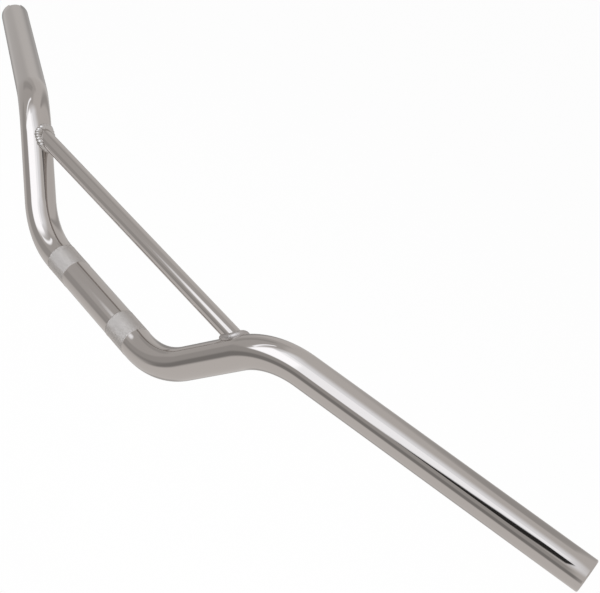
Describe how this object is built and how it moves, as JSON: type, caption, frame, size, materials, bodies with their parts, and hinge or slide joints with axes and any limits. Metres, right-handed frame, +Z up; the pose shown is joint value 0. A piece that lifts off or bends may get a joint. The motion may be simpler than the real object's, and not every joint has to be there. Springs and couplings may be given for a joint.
{
  "type": "bmx handlebar",
  "caption": "Low-rise chromed handlebar: a bent tube with knurled clamping bands, and a crossbar welded between its risers.",
  "frame": {"origin": "middle of the clamping stretch, on the tube's centreline", "axes": "+X along the clamping stretch to the rider's right, +Y to the front, +Z up, in the plane of the risers; the grips sweep to -Y"},
  "size_m": [0.8372, 0.1379, 0.1042],
  "materials": {
    "chrome": "bright chrome plating over steel, matte where it is knurled"
  },
  "bodies": {
    "root": {"bent_tube": "chrome", "crossbar": "chrome", "weld_left": "chrome", "weld_right": "chrome"}
  },
  "joints": []
}
